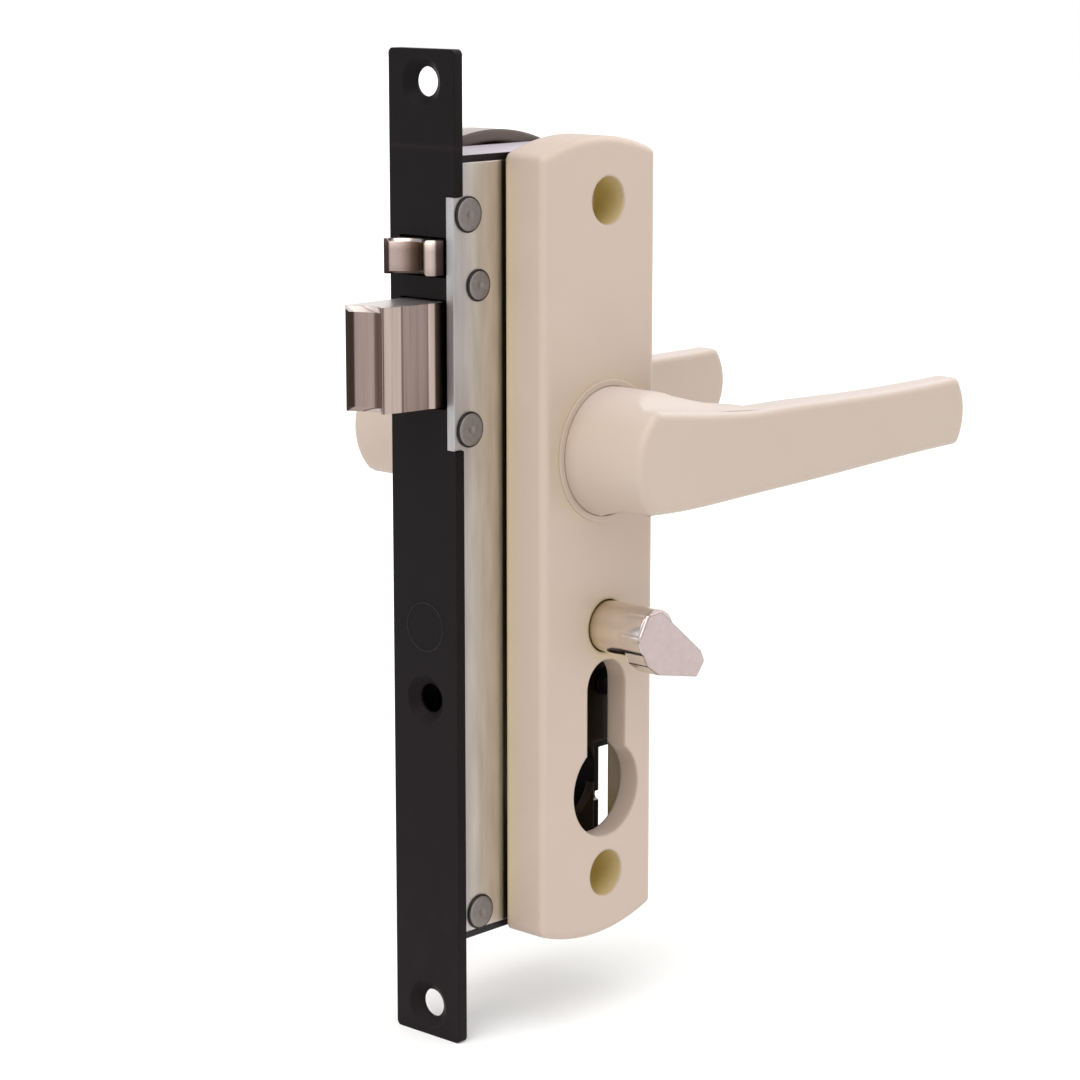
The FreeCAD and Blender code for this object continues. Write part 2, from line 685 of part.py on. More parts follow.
# Grub screw in the underside of each lever's neck, down on a flat of the spindle
def grub_screw():
    top = HUB_Z - SPINDLE / 2
    screw = rod_z(BACKSET, -GRUB_OUT, GRUB_R, top - GRUB_LONG, top)
    return screw.cut(rod_z(BACKSET, -GRUB_OUT, GRUB_KEY_R, top - GRUB_LONG, top - GRUB_LONG / 2))


# Hub: turned in both case walls by the spindle, its arm draws the latch back
def hub_follower():
    nose = (NOSE_X, HUB_Z + ARM_R * math.sin(math.radians(ARM_ANGLE)))
    disc = rod_y(BACKSET, HUB_Z, HUB_R, HUB_NEAR, HUB_FAR)
    arm = link_y((BACKSET, HUB_Z), ARM_ROOT_HALF, nose, ARM_HALF, HUB_NEAR, HUB_FAR)
    tip = rod_y(nose[0], nose[1], ARM_NOSE_R, HUB_NEAR, HUB_FAR)
    journal = rod_y(BACKSET, HUB_Z, HUB_JOURNAL_R, -HUB_END, HUB_END)
    flange = rod_y(BACKSET, HUB_Z, HUB_R, FLANGE_NEAR, SLIDE_FAR)
    lug_x, lug_z = lug_place()
    lug = rod_y(lug_x, lug_z, LUG_R, COVER_IN + INSIDE_GAP, HUB_NEAR)
    hub = fused(disc, arm, tip, journal, flange, lug)
    half = SPINDLE / 2 + RUN_FIT
    square = block(BACKSET - half, BACKSET + half, -HUB_END, HUB_END, HUB_Z - half, HUB_Z + half)
    return hub.cut([square, lock_pocket()])


def lug_place():
    angle = math.radians(ARM_ANGLE)
    return (BACKSET + LUG_AT * math.cos(angle), HUB_Z + LUG_AT * math.sin(angle))


def lock_pocket():
    """The gap in the flange's rim that the slide's nose stands in, long enough for the hub's whole turn."""
    nose_angle = math.degrees(math.asin(SLIDE_NOSE_HALF / POCKET_R)) + POCKET_MARGIN
    ring = rod_y(BACKSET, HUB_Z, HUB_R, FLANGE_NEAR, SLIDE_FAR)
    ring = ring.cut(rod_y(BACKSET, HUB_Z, POCKET_R, FLANGE_NEAR, SLIDE_FAR))
    span = HANDLE_TURN + 2 * nose_angle
    first = -90.0 - nose_angle
    reach = 2 * HUB_R
    sector = [(BACKSET, HUB_Z)]
    for part in range(5):
        angle = math.radians(first + span * part / 4)
        sector.append((BACKSET + reach * math.cos(angle), HUB_Z + reach * math.sin(angle)))
    return ring.common(prism_y(sector, FLANGE_NEAR, SLIDE_FAR))


def peg_place():
    return (BACKSET + PEG_BACK, HUB_Z - RETURN_R - RETURN_WIRE / 2 - PEG_R - SLIDE_FIT)


# Return spring: a torsion coil round the hub's near journal, from the peg to the lug on the arm
def return_spring():
    reach = RETURN_R + LUG_R + RETURN_WIRE / 2 + SLIDE_FIT
    stop = math.radians(ARM_ANGLE) + math.acos(reach / LUG_AT)
    start = math.radians(270.0) + 4 * math.pi
    origin = at(BACKSET, COVER_IN + RETURN_WIRE, HUB_Z)
    return coil(
        "return_spring", origin, at(1, 0, 0), at(0, 0, 1), at(0, 1, 0),
        RETURN_R, RETURN_WIRE, RETURN_PITCH, start, stop, RETURN_LEG,
    )


# Peg in the cover that holds the return spring's fixed leg
def spring_peg():
    x, z = peg_place()
    return rod_y(x, z, PEG_R, COVER_OUT, HUB_NEAR - INSIDE_GAP)


def hollow_head(front, hollow, lip, height, chamfer):
    """A latch's head carried up from its outline: straight runs and a hollow end with softened ends."""
    edges = [Part.makeLine(a, b) for a, b in zip(front, front[1:])]
    edges.append(Part.Arc(front[-1], hollow, lip[0]).toShape())
    edges += [Part.makeLine(a, b) for a, b in zip(lip, lip[1:])]
    head = Part.Face(Part.Wire(edges)).extrude(at(0, 0, height))
    ends = [edge for edge in head.Edges if edge.Curve.TypeId == "Part::GeomCircle"]
    return head.makeChamfer(chamfer, ends)


# Latch bolt: bevelled head with a ridge and a hollow end, bored for its spring
def latch_bolt():
    front = [at(LATCH_BACK, LATCH_FAR, LATCH_BOTTOM), at(LATCH_BACK, LATCH_NEAR, LATCH_BOTTOM)]
    front += [at(x, LATCH_NEAR + rise, LATCH_BOTTOM) for x, rise in LATCH_BEVEL]
    lip = [
        at(-LATCH_OUT, LATCH_FAR - LATCH_LIP, LATCH_BOTTOM),
        at(-LATCH_OUT, LATCH_FAR - LATCH_LIP_EDGE, LATCH_BOTTOM),
        at(-LATCH_OUT + LATCH_LIP_EDGE, LATCH_FAR, LATCH_BOTTOM),
        at(LATCH_BACK, LATCH_FAR, LATCH_BOTTOM),
    ]
    head = hollow_head(front, at(*LATCH_HOLLOW, LATCH_BOTTOM), lip, LATCH_TOP - LATCH_BOTTOM, LATCH_CHAMFER)
    bore = rod_x(LATCH_SPRING_Y, LATCH_SPRING_Z, LATCH_BORE_R, 0, LATCH_BACK)
    mortise = block(
        LATCH_BACK - TAIL_TENON, LATCH_BACK, TAIL_NEAR, TAIL_NEAR + TAIL_T, TAIL_BOTTOM, TAIL_TOP
    )
    return head.cut([bore, mortise])


# Latch tail: a strip let into the bolt, with the cross bar that the hub's arm pulls
def latch_tail():
    strip = block(
        LATCH_BACK - TAIL_TENON, TAIL_END, TAIL_NEAR, TAIL_NEAR + TAIL_T, TAIL_BOTTOM, TAIL_TOP
    )
    bar = block(BAR_X, TAIL_END, BAR_NEAR, TAIL_NEAR, BAR_BOTTOM, TAIL_TOP)
    return fused(strip, bar)


# Latch spring, from the bottom of its bore to the post
def latch_spring():
    start_x = LATCH_WIRE / 2 + SLIDE_FIT
    end_x = POST_X - LATCH_WIRE / 2 - SLIDE_FIT
    pitch = (end_x - start_x) / LATCH_TURNS
    origin = at(start_x, LATCH_SPRING_Y, LATCH_SPRING_Z)
    return coil(
        "latch_spring", origin, at(0, 1, 0), at(0, 0, 1), at(1, 0, 0),
        LATCH_COIL_R, LATCH_WIRE, pitch, 0.0, LATCH_TURNS * 2 * math.pi,
    )


# Post between the case walls, with the rod that keeps the latch spring straight
def spring_post():
    half = POST_H / 2
    post = block(POST_X, POST_X + POST_T, COVER_IN, FAR_IN, LATCH_SPRING_Z - half, LATCH_SPRING_Z + half)
    return fused(post, rod_x(LATCH_SPRING_Y, LATCH_SPRING_Z, GUIDE_ROD_R, GUIDE_ROD_X, POST_X))


# Auxiliary latch: a short head with a hollow end, on a round stem
def aux_latch():
    front = [at(AUX_BACK, AUX_HALF, AUX_BOTTOM), at(AUX_BACK, -AUX_HALF, AUX_BOTTOM)]
    front += [at(x, rise - AUX_HALF, AUX_BOTTOM) for x, rise in AUX_BEVEL]
    lip = [
        at(-AUX_OUT, AUX_HALF - AUX_LIP, AUX_BOTTOM),
        at(-AUX_OUT, AUX_HALF, AUX_BOTTOM),
        at(AUX_BACK, AUX_HALF, AUX_BOTTOM),
    ]
    head = hollow_head(front, at(*AUX_HOLLOW, AUX_BOTTOM), lip, AUX_TOP - AUX_BOTTOM, AUX_EDGE)
    return head.cut(rod_x(0, AUX_MID_Z, STEM_R, AUX_BACK - STEM_IN_HEAD, AUX_BACK))


def aux_stem():
    return rod_x(0, AUX_MID_Z, STEM_R, AUX_BACK - STEM_IN_HEAD, STEM_END)


# Guide across the case that the stem slides in
def aux_guide():
    guide = block(
        GUIDE_X, GUIDE_X + GUIDE_T, COVER_IN, FAR_IN,
        AUX_MID_Z - STEM_R - GUIDE_MARGIN, AUX_MID_Z + STEM_R + GUIDE_MARGIN,
    )
    return guide.cut(rod_x(0, AUX_MID_Z, STEM_R + RUN_FIT, GUIDE_X, GUIDE_X + GUIDE_T))


def aux_spring():
    start_x = AUX_BACK + AUX_WIRE / 2 + SLIDE_FIT
    end_x = GUIDE_X - AUX_WIRE / 2 - SLIDE_FIT
    pitch = (end_x - start_x) / AUX_TURNS
    return coil(
        "aux_spring", at(start_x, 0, AUX_MID_Z), at(0, 1, 0), at(0, 0, 1), at(1, 0, 0),
        AUX_COIL_R, AUX_WIRE, pitch, 0.0, AUX_TURNS * 2 * math.pi,
    )


# Deadlatch lever: hangs behind the stem and swings down over the latch as the stem comes in
def deadlatch_lever():
    pivot = (PIVOT_X, PIVOT_Z)
    nose = (STEM_END + CONTACT_GAP + DEADLATCH_NOSE_R, AUX_MID_Z)
    tip = (PIVOT_X + DEADLATCH_TIP[0], PIVOT_Z + DEADLATCH_TIP[1])
    near = -DEADLATCH_HALF_T
    far = DEADLATCH_HALF_T
    upper = link_y(pivot, DEADLATCH_NOSE_R, nose, DEADLATCH_NOSE_R, near, far)
    lower = link_y(nose, DEADLATCH_NOSE_R, tip, DEADLATCH_TIP_R, near, far)
    hub = rod_y(PIVOT_X, PIVOT_Z, DEADLATCH_HUB_R, COVER_IN + INSIDE_GAP, FAR_IN - INSIDE_GAP)
    hole = rod_y(PIVOT_X, PIVOT_Z, PIVOT_R + RUN_FIT, COVER_IN, FAR_IN)
    return fused(upper, lower, hub).cut(hole)


def deadlatch_pivot():
    return rod_y(PIVOT_X, PIVOT_Z, PIVOT_R, COVER_OUT, FAR_OUT)


# Snib turn: shank, finger that points down at rest, and a flat tail into the cam
def snib_turn():
    y = -SNIB_FRONT
    outline = [(BACKSET + x, SNIB_Z + z) for x, z in SNIB_OUTLINE]
    finger = prism_y(outline, y, y + SNIB_FINGER_T)
    finger = rounded(finger, SNIB_CORNER_R, runs_along_y)
    tip_x = BACKSET + SNIB_TIP[0]
    low = SNIB_Z - 2 * SNIB_SHANK_R
    thin = [
        at(BACKSET + SNIB_SHANK_R, y + SNIB_FINGER_T, low),
        at(tip_x, y + SNIB_TIP_T, low),
        at(tip_x, y + SNIB_FINGER_T, low),
    ]
    taper = Part.Face(Part.makePolygon(thin + thin[:1])).extrude(at(0, 0, 4 * SNIB_SHANK_R))
    finger = finger.cut(taper)
    finger = rounded(finger, SNIB_EDGE_R, lambda edge: lies_at_y(edge, y))
    clip_y = -PLATE_FRONT + PLATE_FACE + SLIDE_FIT
    clip_end = clip_y + SNIB_CLIP_T
    shank = rod_y(BACKSET, SNIB_Z, SNIB_SHANK_R, y + SNIB_EDGE_R, clip_end + SNIB_CLIP_T)
    groove_r = SNIB_SHANK_R - SNIB_CLIP_GROOVE
    groove = rod_y(BACKSET, SNIB_Z, SNIB_SHANK_R, clip_y - SEAT_FIT, clip_end + SEAT_FIT)
    groove = groove.cut(rod_y(BACKSET, SNIB_Z, groove_r, clip_y - SEAT_FIT, clip_end + SEAT_FIT))
    tail = block(
        BACKSET - SNIB_TAIL_W / 2, BACKSET + SNIB_TAIL_W / 2, clip_end, -SNIB_TAIL_END,
        SNIB_Z - SNIB_TAIL_T / 2, SNIB_Z + SNIB_TAIL_T / 2,
    )
    return turned(fused(finger, shank.cut(groove), tail), BACKSET, SNIB_Z, SNIB_TILT)


def snib_circlip():
    clip_y = -PLATE_FRONT + PLATE_FACE + SLIDE_FIT
    inner = SNIB_SHANK_R - SNIB_CLIP_GROOVE + SEAT_FIT
    ring = open_ring(BACKSET, SNIB_Z, inner, SNIB_CLIP_R, clip_y, clip_y + SNIB_CLIP_T, inner * 0.6)
    return turned(ring, BACKSET, SNIB_Z, SNIB_TILT)


# Snib cam: turns in the cover and the far wall, its pin lifts the deadlock slide
def snib_cam():
    centre = (BACKSET, SNIB_Z)
    pin = (BACKSET + CAM_PIN_AT, SNIB_Z)
    barrel = rod_y(BACKSET, SNIB_Z, CAM_R, -HUB_END, CAM_FAR)
    arm = link_y(centre, CAM_R, pin, CAM_ARM_R, CAM_NEAR, CAM_FAR)
    peg = rod_y(pin[0], pin[1], CAM_PIN_R, CAM_FAR, SLIDE_FAR)
    trunnion = rod_y(BACKSET, SNIB_Z, CAM_TRUNNION_R, CAM_FAR, HUB_END)
    half_w = SNIB_TAIL_W / 2 + RUN_FIT
    half_t = SNIB_TAIL_T / 2 + RUN_FIT
    slot = block(
        BACKSET - half_w, BACKSET + half_w, -HUB_END, -SNIB_TAIL_END + INSIDE_GAP,
        SNIB_Z - half_t, SNIB_Z + half_t,
    )
    return turned(fused(barrel, arm, peg, trunnion).cut(slot), BACKSET, SNIB_Z, SNIB_TILT)


# Deadlock slide: forked over the cam's trunnion, its nose rises into the hub's flange
def deadlock_slide():
    nose_left = BACKSET - SLIDE_NOSE_HALF
    nose_right = BACKSET + SLIDE_NOSE_HALF
    leg_right = SLIDE_LEG_X + SLIDE_LEG_W
    bar_top = SNIB_Z + SLIDE_BAR_H / 2
    bar_bottom = bar_top - SLIDE_BAR_H
    near = SLIDE_NEAR
    far = SLIDE_FAR
    body = block(SLIDE_LEFT, SLIDE_RIGHT, near, far, SLIDE_BOTTOM, SLIDE_TOP)
    nose = block(nose_left, nose_right, near, far, SLIDE_TOP, SLIDE_NOSE_TOP)
    bar = block(SLIDE_LEG_X, SLIDE_LEFT, near, far, bar_bottom, bar_top)
    leg = block(SLIDE_LEG_X, leg_right, near, far, SLIDE_FOOT_Z, bar_bottom)
    foot = block(SLIDE_LEG_X, SLIDE_FOOT_X, SLIDE_FOOT_NEAR, far, SLIDE_FOOT_Z, SLIDE_FOOT_Z + SLIDE_FOOT_H)
    slide = fused(body, nose, bar, leg, foot)
    fork = CAM_TRUNNION_R + SLIDE_FIT
    gap = block(BACKSET - fork, BACKSET + fork, near, far, SLIDE_BOTTOM, SNIB_Z)
    crown = rod_y(BACKSET, SNIB_Z, fork, near, far)
    tilt = math.radians(SNIB_TILT)
    slot_r = CAM_PIN_R + SLIDE_FIT
    pin_z = SNIB_Z - CAM_PIN_AT * math.sin(tilt)
    pin_left = BACKSET + CAM_PIN_AT * math.cos(tilt)
    pin_right = BACKSET + CAM_PIN_AT
    pin_slot = fused(
        block(pin_left, pin_right, near, far, pin_z - slot_r, pin_z + slot_r),
        rod_y(pin_left, pin_z, slot_r, near, far),
        rod_y(pin_right, pin_z, slot_r, near, far),
    )
    return slide.cut([gap, crown, pin_slot])


add("faceplate", faceplate())
add("face_spigot", face_spigot())
add("lock_case", lock_case())
add("case_cover", case_cover())
add("case_rivets", *case_rivets())
add("inside_plate", door_plate(True))
add("outside_plate", far_side(door_plate(False)))
add("inside_bush", lever_bush())
add("outside_bush", far_side(lever_bush()))
add("inside_lever", lever())
add("outside_lever", far_side(lever()))
clip_inner = SPIGOT_NECK_R - CIRCLIP_GROOVE + SEAT_FIT
clip = open_ring(BACKSET, HUB_Z, clip_inner, CIRCLIP_R, -CIRCLIP_OUT, -CIRCLIP_OUT + CIRCLIP_T, CIRCLIP_GAP_HALF)
add("lever_circlips", clip, far_side(clip))
add("lever_grub_screws", grub_screw(), far_side(grub_screw()))
add("spindle", spindle())
add("hub_follower", hub_follower())
add("return_spring", return_spring())
add("spring_peg", spring_peg())
add("latch_bolt", latch_bolt())
add("latch_tail", latch_tail())
add("latch_spring", latch_spring())
add("spring_post", spring_post())
add("aux_latch", aux_latch())
add("aux_stem", aux_stem())
add("aux_guide", aux_guide())
add("aux_spring", aux_spring())
add("deadlatch_lever", deadlatch_lever())
add("deadlatch_pivot", deadlatch_pivot())
add("snib_turn", snib_turn())
add("snib_circlip", snib_circlip())
add("snib_cam", snib_cam())
add("deadlock_slide", deadlock_slide())

print(f"latch travel {LATCH_TRAVEL:.2f} mm, slide lift {SNIB_LIFT:.2f} mm")
os.makedirs("parts", exist_ok=True)
for name, shape in PARTS.items():
    print(f"{name}: valid {shape.isValid()}, {len(shape.Solids)} solids, {shape.Volume:.1f} mm3")
    shape.exportStep(f"parts/{name}.step")
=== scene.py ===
import math

import bpy
import numpy as np
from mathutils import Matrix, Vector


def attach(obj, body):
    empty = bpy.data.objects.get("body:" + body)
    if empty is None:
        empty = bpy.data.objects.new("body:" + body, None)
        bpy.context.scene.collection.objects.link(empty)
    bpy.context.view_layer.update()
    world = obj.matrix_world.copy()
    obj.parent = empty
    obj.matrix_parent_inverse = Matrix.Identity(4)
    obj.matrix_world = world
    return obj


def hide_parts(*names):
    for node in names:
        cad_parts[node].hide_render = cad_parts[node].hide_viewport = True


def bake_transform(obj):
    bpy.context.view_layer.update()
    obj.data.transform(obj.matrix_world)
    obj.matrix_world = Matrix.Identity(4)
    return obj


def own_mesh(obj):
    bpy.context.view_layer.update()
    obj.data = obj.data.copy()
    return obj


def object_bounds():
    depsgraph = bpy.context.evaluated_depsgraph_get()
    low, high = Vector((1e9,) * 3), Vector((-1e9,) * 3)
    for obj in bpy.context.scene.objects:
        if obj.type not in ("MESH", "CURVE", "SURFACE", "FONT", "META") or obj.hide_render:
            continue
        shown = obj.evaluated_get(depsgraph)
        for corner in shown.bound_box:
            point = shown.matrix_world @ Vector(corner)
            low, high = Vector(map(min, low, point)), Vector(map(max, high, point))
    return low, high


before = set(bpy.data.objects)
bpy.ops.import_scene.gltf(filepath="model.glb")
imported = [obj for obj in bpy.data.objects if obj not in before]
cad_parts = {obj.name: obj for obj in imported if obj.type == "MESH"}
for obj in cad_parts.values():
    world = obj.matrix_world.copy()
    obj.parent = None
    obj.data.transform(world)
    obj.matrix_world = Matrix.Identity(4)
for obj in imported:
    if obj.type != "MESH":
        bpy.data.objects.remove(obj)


# ---------------------------------------------------------------- room
# A pale floor under the faceplate's lower end, a white world that metal mirrors, and soft lamps
# round the lock. The camera looks from the photograph's side, a little above the latches.
def empty_tree(owner):
    """The cleared node tree of a material or a world."""
    owner.use_nodes = True
    owner.node_tree.nodes.clear()
    return owner.node_tree


def add_node(tree, kind, inputs, **settings):
    """A node with these settings, and each input given a value or wired to another node's output."""
    node = tree.nodes.new(kind)
    for setting, value in settings.items():
        setattr(node, setting, value)
    for key, value in inputs.items():
        if isinstance(value, bpy.types.NodeSocket):
            tree.links.new(value, node.inputs[key])
        else:
            node.inputs[key].default_value = value
    return node


def sees_white(tree):
    """1 for a ray from the camera, a mirror or a glass, 0 for the light that a surface scatters."""
    rays = add_node(tree, "ShaderNodeLightPath", {}).outputs
    either = add_node(
        tree, "ShaderNodeMath", {0: rays["Is Camera Ray"], 1: rays["Is Glossy Ray"]}, operation="MAXIMUM"
    )
    every = add_node(
        tree, "ShaderNodeMath", {0: either.outputs[0], 1: rays["Is Transmission Ray"]}, operation="MAXIMUM"
    )
    return every.outputs[0]


bpy.context.scene.view_settings.view_transform = "Standard"
cad_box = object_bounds()

white, warm_white, warm_strength = (1.0, 1.0, 1.0, 1.0), (1.0, 0.99, 0.97, 1.0), 0.77
world = bpy.data.worlds.new("pale room")
bpy.context.scene.world = world
sky = empty_tree(world)
seen = add_node(sky, "ShaderNodeBackground", {"Color": white, "Strength": 1.0})
scattered = add_node(sky, "ShaderNodeBackground", {"Color": warm_white, "Strength": warm_strength})
room = add_node(sky, "ShaderNodeMixShader", {0: sees_white(sky), 1: scattered.outputs[0], 2: seen.outputs[0]})
add_node(sky, "ShaderNodeOutputWorld", {"Surface": room.outputs[0]})

floor_reach, floor_z = 3, cad_box[0][2]
floor_mesh = bpy.data.meshes.new("floor")
floor_mesh.from_pydata(
    [(x * floor_reach, y * floor_reach, floor_z) for x, y in ((-1, -1), (1, -1), (1, 1), (-1, 1))],
    [], [(0, 1, 2, 3)],
)
floor = bpy.data.objects.new("floor", floor_mesh)
bpy.context.scene.collection.objects.link(floor)
paper_grey, paper_glow = (0.86, 0.86, 0.86, 1.0), 0.10
paper = bpy.data.materials.new("pale paper")
sheet = empty_tree(paper)
matt = add_node(sheet, "ShaderNodeBsdfDiffuse", {"Color": paper_grey})
glow = add_node(sheet, "ShaderNodeEmission", {"Strength": paper_glow})
lifted = add_node(sheet, "ShaderNodeAddShader", {0: matt.outputs[0], 1: glow.outputs[0]})
ground = add_node(
    sheet, "ShaderNodeMixShader", {0: sees_white(sheet), 1: matt.outputs[0], 2: lifted.outputs[0]}
)
add_node(sheet, "ShaderNodeOutputMaterial", {"Surface": ground.outputs[0]})
floor_mesh.materials.append(paper)

for name, place, energy, spread in (
    ("ceiling light", (-0.50, -0.16, 1.00), 1.9, 1.1),
    ("side light", (0.80, -0.10, 0.50), 1.0, 0.9),
):
    lamp = bpy.data.lights.new(name, "SUN")
    lamp.energy = energy
    lamp.angle = spread
    lamp_object = bpy.data.objects.new(name, lamp)
    lamp_object.location = place
    x, y, z = place
    lamp_object.rotation_euler = (math.atan2(math.hypot(x, y), z), 0.0, math.atan2(y, x) + math.pi / 2)
    bpy.context.scene.collection.objects.link(lamp_object)

camera_place = (-0.38455, -0.38179, 0.11184)
camera_dip, camera_heading = math.radians(11.355), math.radians(-47.39)
camera_data = bpy.data.cameras.new("camera")
camera_data.sensor_width = 36.0
camera_data.lens = 102.92
camera = bpy.data.objects.new("camera", camera_data)
camera.location = camera_place
camera.rotation_euler = (math.pi / 2 - camera_dip, 0.0, camera_heading)
bpy.context.scene.collection.objects.link(camera)
bpy.context.scene.camera = camera


# ---------------------------------------------------------------- faceplate
# A pressed steel strip under a thin satin black coat, screwed into the door's edge. A fine witness
# line crosses it above the case. The coat is painted lighter toward the foot, a painted sheen.
def mixed(tree, under, over, share, way="MIX"):
    """The colour under, brought to the colour over by the share, or multiplied by it."""
    inputs = {"A": under, "B": over, "Factor": share}
    return add_node(tree, "ShaderNodeMix", inputs, data_type="RGBA", blend_type=way).outputs["Result"]


def banded(tree, place, paint, axis, run):
    """The paint multiplied by tints that change along an axis, a run of (metres, tint)."""
    start, span = run[0][0], run[-1][0] - run[0][0]
    split = add_node(tree, "ShaderNodeSeparateXYZ", {0: place})
    along = add_node(
        tree, "ShaderNodeMapRange", {"Value": split.outputs[axis], "From Min": start, "From Max": run[-1][0]}
    )
    ramp = add_node(tree, "ShaderNodeValToRGB", {"Fac": along.outputs["Result"]})
    stops = ramp.color_ramp.elements
    for at, tint in run[1:-1]:
        stops.new((at - start) / span)
    for stop, (at, tint) in zip(stops, run):
        stop.position = (at - start) / span
        stop.color = (*tint, 1.0)
    return mixed(tree, paint, ramp.outputs["Color"], 1.0, "MULTIPLY")


def paint_top_shading(tree, place, paint, painted_top_shading, painted_top_shading_to):
    """The paint turned to the top face tint on faces that look up, as far along Y as its limit; the tint is painted
    light and shade for how the light falls on top faces.
    """
    up_from, up_to, fade, past_all = 0.6, 0.95, 0.0008, 2.0
    if painted_top_shading_to:
        split = add_node(tree, "ShaderNodeSeparateXYZ", {0: place})
        limit = add_node(tree, "ShaderNodeMapRange", {
            "Value": split.outputs["Y"], "From Min": painted_top_shading_to - fade, "From Max": painted_top_shading_to + fade,
            "To Min": up_to, "To Max": past_all,
        }).outputs["Result"]
        nearer = add_node(tree, "ShaderNodeMath", {0: limit, 1: up_to - up_from}, operation="SUBTRACT")
        up_from, up_to = nearer.outputs[0], limit
    normal = add_node(tree, "ShaderNodeNewGeometry", {}).outputs["True Normal"]
    facing = add_node(tree, "ShaderNodeSeparateXYZ", {0: normal}).outputs["Z"]
    upward = add_node(tree, "ShaderNodeMapRange", {"Value": facing, "From Min": up_from, "From Max": up_to})
    return mixed(tree, paint, (*painted_top_shading, 1.0), upward.outputs["Result"])


def finish(
    name, colour, deep, *, metallic=0.0, roughness, spread, grain, height, edge, stretch=(1, 1, 1), cloud=None,
    specular=0.5, hollow_shading_tint=(0.35, 0.35, 0.35), reach=0.004, open_from=0.55, bands=(), painted_top_shading=None, painted_top_shading_to=None,
):
    """A surface whose colour drifts from one tone to a deeper one in clouds, cloud to the metre, and
    whose roughness drifts by spread. A skin of fine grains, grain to the metre, stands up by
    height, and edges are softened over the width edge. Hollows deeper than reach and less open
    than open_from take the hollow tint: painted shade where the tint is dark, painted bounced
    light where it is brighter than 1. Bands are as banded says, and the top face tint is painted
    light and shade on faces that look up, as the function that paints it says."""
    material = bpy.data.materials.new(name)
    tree = empty_tree(material)
    place = add_node(tree, "ShaderNodeTexCoord", {}).outputs["Object"]
    lie = add_node(tree, "ShaderNodeMapping", {"Vector": place, "Scale": stretch}).outputs[0]
    clouds_to_grains = 0.09
    drift = add_node(
        tree, "ShaderNodeTexNoise", {"Vector": lie, "Scale": cloud or grain * clouds_to_grains, "Detail": 4.0}
    )
    tone = mixed(tree, (*colour, 1.0), (*deep, 1.0), drift.outputs["Fac"])
    skin = add_node(tree, "ShaderNodeTexNoise", {"Vector": lie, "Scale": grain, "Detail": 3.0}).outputs["Fac"]
    gloss = add_node(
        tree, "ShaderNodeMapRange", {"Value": skin, "To Min": roughness - spread, "To Max": roughness + spread}
    )
    soft_edge = add_node(tree, "ShaderNodeBevel", {"Radius": edge}, samples=6)
    relief = add_node(tree, "ShaderNodeBump", {
        "Strength": 1.0, "Distance": height, "Height": skin, "Normal": soft_edge.outputs["Normal"],
    })
    # Painted shade in hollows, and painted bounced light where the hollow tint is brighter than 1.
    openness = add_node(tree, "ShaderNodeAmbientOcclusion", {"Distance": reach}, samples=8).outputs["AO"]
    hollow_shading_share = add_node(
        tree, "ShaderNodeMapRange", {"Value": openness, "From Max": open_from, "To Min": 1.0, "To Max": 0.0}
    )
    paint = mixed(tree, tone, (*hollow_shading_tint, 1.0), hollow_shading_share.outputs["Result"], "MULTIPLY")
    for axis, run in bands:
        paint = banded(tree, place, paint, axis, run)
    # Painted light and shade on faces that look up.
    if painted_top_shading:
        paint = paint_top_shading(tree, place, paint, painted_top_shading, painted_top_shading_to)
    shader = add_node(tree, "ShaderNodeBsdfPrincipled", {
        "Base Color": paint, "Metallic": metallic, "Specular IOR Level": specular,
        "Roughness": gloss.outputs["Result"], "Normal": relief.outputs["Normal"],
    })
    add_node(tree, "ShaderNodeOutputMaterial", {"Surface": shader.outputs[0]})
    return material


def dress(material, *names):
    """Gives the material to every slot of these CAD nodes."""
    for name in names:
        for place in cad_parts[name].material_slots:
            place.material = material


plain = (1, 1, 1)
foot_z, head_z = cad_box[0][2], cad_box[1][2]
witness_z, witness_half = 0.0730, 0.0002
black_coat = finish(
    "black coat", (0.0090, 0.0064, 0.0072), (0.0055, 0.0042, 0.0047), roughness=0.50, spread=0.06,
    grain=2500, height=0.000006, edge=0.0003, specular=0.08,
    bands=[("Z", [
        (foot_z, (1.7, 1.6, 1.7)), (-0.0500, (1.25, 1.2, 1.25)), (0.0200, plain),
        (witness_z - witness_half, plain), (witness_z, (3.0, 2.8, 2.8)), (witness_z + witness_half, plain),
        (head_z, plain),
    ])],
)
dress(black_coat, "faceplate")


# ---------------------------------------------------------------- spigot staked in the faceplate
# A round steel disc pressed in flush with the face, under the same coat. The swaged metal stands
# round it as a hairline bead, which is all that shows of it.
def beads(places, tube, around=48, across=10):
    """Round beads laid about axes along Y: for each (x, y, z, r) the points
    (x + w cos t, y + tube sin s, z + w sin t) with w = r + tube cos s."""
    t, s = np.meshgrid(
        np.linspace(0, 2 * np.pi, around, endpoint=False), np.linspace(0, 2 * np.pi, across, endpoint=False),
        indexing="ij",
    )
    i, j = np.meshgrid(np.arange(around), np.arange(across), indexing="ij")
    next_i, next_j = (i + 1) % around, (j + 1) % across
    ring = np.stack([
        i * across + j, i * across + next_j, next_i * across + next_j, next_i * across + j,
    ], axis=-1).reshape(-1, 4)
    points = []
    for x, y, z, r in places:
        w = r + tube * np.cos(s)
        points.append(np.stack([x + w * np.cos(t), y + tube * np.sin(s), z + w * np.sin(t)], axis=-1).reshape(-1, 3))
    faces = [ring + n * around * across for n in range(len(places))]
    return np.concatenate(points), np.concatenate(faces)


